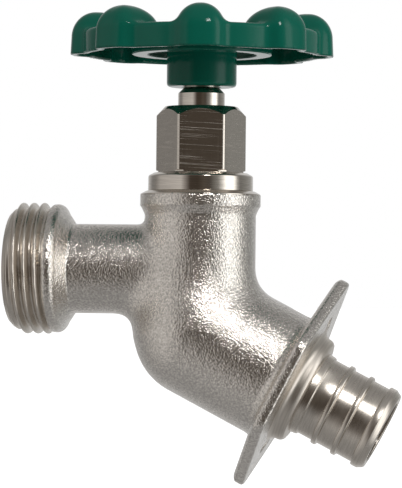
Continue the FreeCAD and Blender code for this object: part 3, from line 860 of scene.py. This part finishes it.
class HOSEBIB_OT_packing_nut(bpy.types.Operator):
    """Build the hexagonal packing nut with its turned corners and its chamfered top"""
    bl_idname = "hosebib.packing_nut"
    bl_label = "Packing Nut"

    def execute(self, context):
        trim = context.scene.hose_bib_trim
        bottom, top = height_of("packing_nut", 0), height_of("packing_nut", 1)
        foot_radius, foot_height, foot_slope, top_slope = 0.0088, 0.00025, 0.3, 1.12
        bore, stem_hole, ceiling = 0.0069, 0.0050, top - 0.002

        def hexagon(angle):
            part = (angle + math.pi / 6) % (math.pi / 3) - math.pi / 6
            return min(trim.flats / 2 / math.cos(part), trim.corner)

        def chamfer(angle):
            return top - max(hexagon(angle) - trim.crown, 0.0) * top_slope

        def foot(angle):
            return min(hexagon(angle), foot_radius)

        def shoulder(angle):
            return bottom + foot_height + (hexagon(angle) - foot(angle)) * foot_slope

        rings = [
            (bore, bottom),
            (foot, bottom),
            (foot, bottom + foot_height),
            (hexagon, shoulder),
            (hexagon, chamfer),
            (trim.crown, top),
            (stem_hole, top),
            (stem_hole, ceiling),
            (bore, ceiling - 0.0001),
        ]
        # One flat faces the camera.
        turn = context.scene.hose_bib_stage.azimuth + math.pi / 6
        space = STEM_SPACE @ Matrix.Rotation(turn, 4, "Z")
        mesh = ring_mesh("hex_nut", rings, space, steps=360)
        add_piece(mesh, "valve_body", "bright_nickel", milled_nickel(), "packing_nut")
        return {"FINISHED"}


class HOSEBIB_OT_stem(bpy.types.Operator):
    """Build the bright stem with its chamfered top"""
    bl_idname = "hosebib.stem"
    bl_label = "Stem"

    def execute(self, context):
        look = context.scene.hose_bib_finish
        trim = context.scene.hose_bib_trim
        low, high = height_of("stem", 0), height_of("stem", 1)
        screw_hole, screw_hole_end = 0.00208, 0.0036
        swivel, thread, tip = 0.0045, 0.00619, 0.0027
        thread_start, thread_end, hub_seat, tip_start = 0.0045, 0.0119, 0.0374, 0.0381
        profile = [
            (0.0, screw_hole_end),
            (screw_hole, screw_hole_end),
            (screw_hole, low),
            (swivel, low),
            (swivel, thread_start),
            (thread, thread_start),
            (thread, thread_end),
            (trim.stem, thread_end),
            (trim.stem, hub_seat - 0.0011),
            (trim.drive, hub_seat),
            (trim.drive, tip_start - 0.0001),
            (tip, tip_start),
            (tip, high),
            (0.0, high),
        ]
        material = machined_nickel("turned stem nickel", roughness=look.polish,
                                   line_scale=7000.0, line_depth=0.000003, axis=UP)
        mesh = ring_mesh("turned_stem", profile, STEM_SPACE, closed=False)
        piece = add_piece(mesh, "spindle", "bright_nickel", material, "stem")
        softened(piece, 0.0001)
        return {"FINISHED"}


# The top of the wheel's dished web: heights above the outlet at distances from the stem.
WEB_REACH = (0.0, 0.008, 0.0145, 0.0205, 0.0222)
WEB_HEIGHT = (0.0466, 0.0466, 0.0470, 0.0484, 0.0490)


def wheel_distance(sizes, turn):
    """The handwheel as a distance: a thin shell over rim and lobes, a land and a hub."""
    lobes, squareness = 8, 3
    sector = 2 * math.pi / lobes
    # Heights above the outlet: the rim's foot, and where a lobe's crown starts and how
    # far it rises. Below the crown the lobe's sides lean out by the draft.
    rim_foot, crown_start, crown_rise, draft_height, draft = 0.0440, 0.0476, 0.0053, 0.0036, 0.00018
    rim_edge, lobe_fillet, web_fillet, hub_round = 0.0011, 0.0014, 0.0007, 0.0009
    land_place, land_half, land_foot, land_depth = 0.0128, 0.0016, 0.0442, 0.0003
    hub_middle, hub_half, socket, socket_top = 0.0421, 0.0045, 0.0038, 0.0384

    def distance(points):
        local = points - np.array(VALVE)
        reach = np.hypot(local[..., 0], local[..., 1])
        height = local[..., 2]
        angle = np.arctan2(local[..., 1], local[..., 0]) - turn + math.pi / 2
        angle = (angle + sector / 2) % sector - sector / 2
        out, across = reach * np.cos(angle), reach * np.sin(angle)

        web_top = np.interp(reach, WEB_REACH, WEB_HEIGHT)
        rim = blend_cut(reach - sizes.rim, height - web_top, rim_edge)
        lift = np.maximum(height - crown_start, 0) / crown_rise
        lean = np.clip((crown_start - height) / draft_height, 0, 1) * draft
        past = out - sizes.lobe_place
        half = np.where(past < 0, sizes.lobe * 1.5, sizes.lobe + 0.0001) + lean
        plan = np.abs(past / half) ** squareness + np.abs(across / sizes.lobe) ** squareness
        plan = plan ** (1 / squareness)
        lobe = (np.sqrt(plan ** 2 + lift ** 2) - 1) * sizes.lobe
        outside = blend(rim, lobe, lobe_fillet)

        shell = np.maximum(outside, -(outside + sizes.wall))
        shell = np.maximum(shell, rim_foot - height)
        land = np.maximum(np.abs(reach - land_place) - land_half, land_foot - height)
        land = np.maximum(land, outside + land_depth)
        hub = blend_cut(reach - sizes.hub, np.abs(height - hub_middle) - hub_half, hub_round)
        solid = blend(blend(shell, land, web_fillet), hub, hub_round)
        return np.maximum(solid, -np.maximum(reach - socket, height - socket_top))
    return distance


class HOSEBIB_OT_handwheel(bpy.types.Operator):
    """Build the enamelled handwheel with its hollow lobes"""
    bl_idname = "hosebib.handwheel"
    bl_label = "Handwheel"

    def execute(self, context):
        sizes = context.scene.hose_bib_wheel
        low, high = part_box("handwheel")
        margin = Vector((0.0008, 0.0008, 0.0008))
        cell = 0.00034
        mesh = net_mesh("lobed_handwheel", wheel_distance(sizes, sizes.turn),
                        low - margin, high + margin, cell)
        if len(mesh.polygons) < 1000:
            raise RuntimeError("the handwheel's surface wasn't found")
        add_piece(mesh, "spindle", "green_enamel", enamel(), "handwheel")
        return {"FINISHED"}


def dress(node, material):
    """Give a CAD node that keeps its shape a material."""
    piece = frame["nodes"][node]
    piece.data.materials.clear()
    piece.data.materials.append(material)


class HOSEBIB_OT_fastening(bpy.types.Operator):
    """Finish the screw and the star washer on top of the handwheel"""
    bl_idname = "hosebib.fastening"
    bl_label = "Wheel Screw and Washer"

    def execute(self, context):
        look = context.scene.hose_bib_finish
        steel = plain("zinc-plated steel", look.zinc, roughness=0.3, metallic=1.0,
                      grain_depth=0.000004)
        for node in ("star_washer", "handwheel_screw"):
            dress(node, steel)
        return {"FINISHED"}


class HOSEBIB_OT_inner_parts(bpy.types.Operator):
    """Finish the pieces inside the valve: packing, gland, gasket, disc, washer and screw"""
    bl_idname = "hosebib.inner_parts"
    bl_label = "Inner Parts"

    def execute(self, context):
        look = context.scene.hose_bib_finish
        brass = plain("machined brass", look.brass, roughness=0.28, metallic=1.0,
                      grain_depth=0.000004)
        rubber = plain("black rubber", look.rubber, roughness=0.6, metallic=0.0,
                       grain_depth=0.00001)
        packing = plain("graphite packing", look.graphite, roughness=0.7, metallic=0.0,
                        grain_depth=0.00003)
        fibre = plain("pressed fibre", look.fibre, roughness=0.8, metallic=0.0,
                      grain_depth=0.00002)
        for node in ("packing_gland", "disc_holder", "washer_screw"):
            dress(node, brass)
        dress("seat_washer", rubber)
        dress("packing_ring", packing)
        dress("bonnet_gasket", fibre)
        return {"FINISHED"}


# ---------------------------------------------------------------------------------------
# Stage: floor, world, lights and camera
# ---------------------------------------------------------------------------------------

def view_direction(azimuth, elevation):
    """From the valve towards a viewer at that azimuth (0 looks along +Y) and elevation."""
    return Vector((math.sin(azimuth) * math.cos(elevation),
                   -math.cos(azimuth) * math.cos(elevation), math.sin(elevation)))


def add_camera(stage):
    """Place the camera at its angle and distance, with its roll."""
    # The camera looks a little above the outlet, at the middle of the whole valve.
    target = VALVE + Vector((0.0002, 0.0, 0.0053))
    back = view_direction(stage.azimuth, stage.elevation)
    camera = bpy.data.objects.new("camera", bpy.data.cameras.new("camera"))
    bpy.context.scene.collection.objects.link(camera)
    camera.data.lens = stage.lens
    camera.data.sensor_width = 36.0
    camera.data.clip_start = 0.01
    camera.data.clip_end = 50.0
    level = back.to_track_quat("Z", "Y").to_matrix().to_4x4()
    camera.matrix_world = (Matrix.Translation(target + back * stage.distance) @ level
                           @ Matrix.Rotation(stage.roll, 4, "Z"))
    bpy.context.scene.camera = camera


def add_softbox(stage):
    """The key light: a square softbox above and right of the camera, facing the valve."""
    turn, elevation, distance = math.radians(15), math.radians(37), 1.2
    back = view_direction(stage.azimuth + turn, elevation)
    light = bpy.data.lights.new("key_softbox", "AREA")
    light.shape = "RECTANGLE"
    light.size = stage.softbox
    light.size_y = stage.softbox
    light.energy = stage.softbox_power
    lamp = bpy.data.objects.new("key_softbox", light)
    bpy.context.scene.collection.objects.link(lamp)
    lamp.matrix_world = (Matrix.Translation(VALVE + back * distance)
                         @ back.to_track_quat("Z", "Y").to_matrix().to_4x4())


def calculated(nodes, links, operation, *values):
    """A math node on sockets and numbers; gives its output."""
    node = nodes.new("ShaderNodeMath")
    node.operation = operation
    for socket, value in zip(node.inputs, values):
        if isinstance(value, bpy.types.NodeSocket):
            links.new(value, socket)
        else:
            socket.default_value = value
    return node.outputs["Value"]


# The room around the valve at eye level: degrees to the right of the camera, and the
# colour of the light from there. A pale wall on the left, the dark camera side in front,
# a tall bright strip on the right, and the white backdrop behind.
ROOM = (
    (-180, (0.70, 0.70, 0.70)), (-150, (0.50, 0.50, 0.50)), (-132, (0.25, 0.25, 0.25)),
    (-116, (0.27, 0.265, 0.26)), (-100, (0.50, 0.49, 0.48)), (-44, (0.63, 0.62, 0.61)),
    (-36, (0.36, 0.34, 0.33)), (-24, (0.065, 0.052, 0.042)), (-6, (0.060, 0.048, 0.038)),
    (8, (0.100, 0.085, 0.070)), (20, (0.080, 0.070, 0.060)), (40, (0.30, 0.30, 0.29)),
    (50, (1.00, 1.01, 1.01)), (58, (1.96, 1.98, 1.98)), (78, (1.94, 1.96, 1.96)),
    (88, (0.45, 0.45, 0.44)), (97, (0.20, 0.20, 0.195)), (118, (0.29, 0.295, 0.29)),
    (142, (0.40, 0.41, 0.41)), (158, (0.65, 0.66, 0.67)), (179, (0.70, 0.70, 0.70)),
)
FAR_ABOVE_AND_BELOW = (0.30, 0.30, 0.30)
# Angles above and below eye level between which the room fades into that colour.
FADE = (math.radians(26), math.radians(56))
# The colours above are divided by the strength, to stay below 1 in the ramp.
ROOM_STRENGTH = 2.0


def add_world(stage):
    """The studio's room as light; the camera itself sees plain white behind the valve."""
    world = bpy.data.worlds.new("studio")
    bpy.context.scene.world = world
    world.use_nodes = True
    nodes, links = world.node_tree.nodes, world.node_tree.links
    nodes.clear()
    place = nodes.new("ShaderNodeTexCoord")
    parts = nodes.new("ShaderNodeSeparateXYZ")
    turned = nodes.new("ShaderNodeVectorRotate")
    turned.rotation_type = "Z_AXIS"
    turned.inputs["Angle"].default_value = -stage.azimuth
    links.new(place.outputs["Generated"], turned.inputs["Vector"])
    links.new(turned.outputs["Vector"], parts.inputs["Vector"])
    towards = calculated(nodes, links, "MULTIPLY", parts.outputs["Y"], -1.0)
    angle = calculated(nodes, links, "ARCTAN2", parts.outputs["X"], towards)
    ramp = nodes.new("ShaderNodeValToRGB")
    stops = ramp.color_ramp.elements
    while len(stops) < len(ROOM):
        stops.new(0.5)
    for stop, (degrees, tint) in zip(stops, ROOM):
        stop.position = degrees / 360 + 0.5
        stop.color = (*shaded(tint, 1 / ROOM_STRENGTH), 1)
    links.new(calculated(nodes, links, "MULTIPLY_ADD", angle, 0.5 / math.pi, 0.5),
              ramp.inputs["Fac"])
    height = calculated(nodes, links, "ABSOLUTE", parts.outputs["Z"])
    fade = ranged(nodes, links, height, math.sin(FADE[0]), math.sin(FADE[1]), 0.0, 1.0)
    room_colour = nodes.new("ShaderNodeMix")
    room_colour.data_type = "RGBA"
    links.new(fade, room_colour.inputs["Factor"])
    links.new(ramp.outputs["Color"], room_colour.inputs["A"])
    room_colour.inputs["B"].default_value = (*shaded(FAR_ABOVE_AND_BELOW, 1 / ROOM_STRENGTH), 1)
    room, white = nodes.new("ShaderNodeBackground"), nodes.new("ShaderNodeBackground")
    room.inputs["Strength"].default_value = ROOM_STRENGTH
    links.new(room_colour.outputs["Result"], room.inputs["Color"])
    white.inputs["Color"].default_value = (1, 1, 1, 1)
    seen = nodes.new("ShaderNodeMixShader")
    path = nodes.new("ShaderNodeLightPath")
    output = nodes.new("ShaderNodeOutputWorld")
    links.new(path.outputs["Is Camera Ray"], seen.inputs["Fac"])
    links.new(room.outputs["Background"], seen.inputs[1])
    links.new(white.outputs["Background"], seen.inputs[2])
    links.new(seen.outputs["Shader"], output.inputs["Surface"])


def add_floor(stage):
    """A pale floor, kept out of the valve's reflections and light, and clear from below."""
    lowest = cad_box[0][2] - stage.floor_gap
    bpy.ops.mesh.primitive_circle_add(vertices=96, radius=6.0, fill_type="NGON",
                                      location=(0, 0, lowest))
    floor = bpy.context.object
    floor.name = "floor"
    floor.visible_glossy = False
    floor.visible_diffuse = False
    floor.visible_shadow = False
    material, nodes, links, shader = new_material("pale floor")
    grain = place_group(nodes, grain_group(), Scale=60.0, Patch_Scale=2.0)
    links.new(two_colours(nodes, links, grain.outputs["Patches"],
                          (0.93, 0.93, 0.93), (0.96, 0.96, 0.96)), shader.inputs["Base Color"])
    shader.inputs["Roughness"].default_value = 0.9
    shader.inputs["Specular IOR Level"].default_value = 0.1
    shader.inputs["Emission Color"].default_value = (1, 1, 1, 1)
    shader.inputs["Emission Strength"].default_value = 0.8
    side = nodes.new("ShaderNodeNewGeometry")
    clear, mix = nodes.new("ShaderNodeBsdfTransparent"), nodes.new("ShaderNodeMixShader")
    links.new(side.outputs["Backfacing"], mix.inputs["Fac"])
    links.new(shader.outputs["BSDF"], mix.inputs[1])
    links.new(clear.outputs["BSDF"], mix.inputs[2])
    links.new(mix.outputs["Shader"], nodes["Material Output"].inputs["Surface"])
    floor.data.materials.append(material)


class HOSEBIB_OT_stage(bpy.types.Operator):
    """Set the plain floor, the soft lights and the camera"""
    bl_idname = "hosebib.stage"
    bl_label = "Stage"

    def execute(self, context):
        stage = context.scene.hose_bib_stage
        context.scene.view_settings.view_transform = "Standard"
        add_camera(stage)
        add_world(stage)
        add_floor(stage)
        add_softbox(stage)
        return {"FINISHED"}


class HOSEBIB_PT_panel(bpy.types.Panel):
    """The maker's steps and sizes"""
    bl_idname = "HOSEBIB_PT_panel"
    bl_label = "Hose Bib"
    bl_space_type = "VIEW_3D"
    bl_region_type = "UI"
    bl_category = "Hose Bib"

    def draw(self, context):
        layout = self.layout
        for name in SETTINGS:
            box = layout.box()
            settings = getattr(context.scene, name)
            for prop in settings.__annotations__:
                box.prop(settings, prop)
        for operator in OPERATORS:
            layout.operator(operator.bl_idname)


SETTINGS = {
    "hose_bib_casting": CastingSizes,
    "hose_bib_thread": ThreadSizes,
    "hose_bib_trim": TrimSizes,
    "hose_bib_wheel": WheelSizes,
    "hose_bib_finish": Finish,
    "hose_bib_stage": Stage,
}
OPERATORS = (
    HOSEBIB_OT_stage,
    HOSEBIB_OT_casting,
    HOSEBIB_OT_hose_thread,
    HOSEBIB_OT_tubing_barb,
    HOSEBIB_OT_bonnet,
    HOSEBIB_OT_packing_nut,
    HOSEBIB_OT_stem,
    HOSEBIB_OT_handwheel,
    HOSEBIB_OT_fastening,
    HOSEBIB_OT_inner_parts,
)
CLASSES = (*SETTINGS.values(), *OPERATORS, HOSEBIB_PT_panel)


def register():
    for item in CLASSES:
        bpy.utils.register_class(item)
    for name, group in SETTINGS.items():
        setattr(bpy.types.Scene, name, PointerProperty(type=group))


def unregister():
    for name in SETTINGS:
        delattr(bpy.types.Scene, name)
    for item in reversed(CLASSES):
        bpy.utils.unregister_class(item)


def main():
    """Build the valve and the stage."""
    register()
    for operator in OPERATORS:
        step = operator.bl_idname.split(".")[1]
        getattr(bpy.ops.hosebib, step)()


if __name__ == "__main__":
    main()
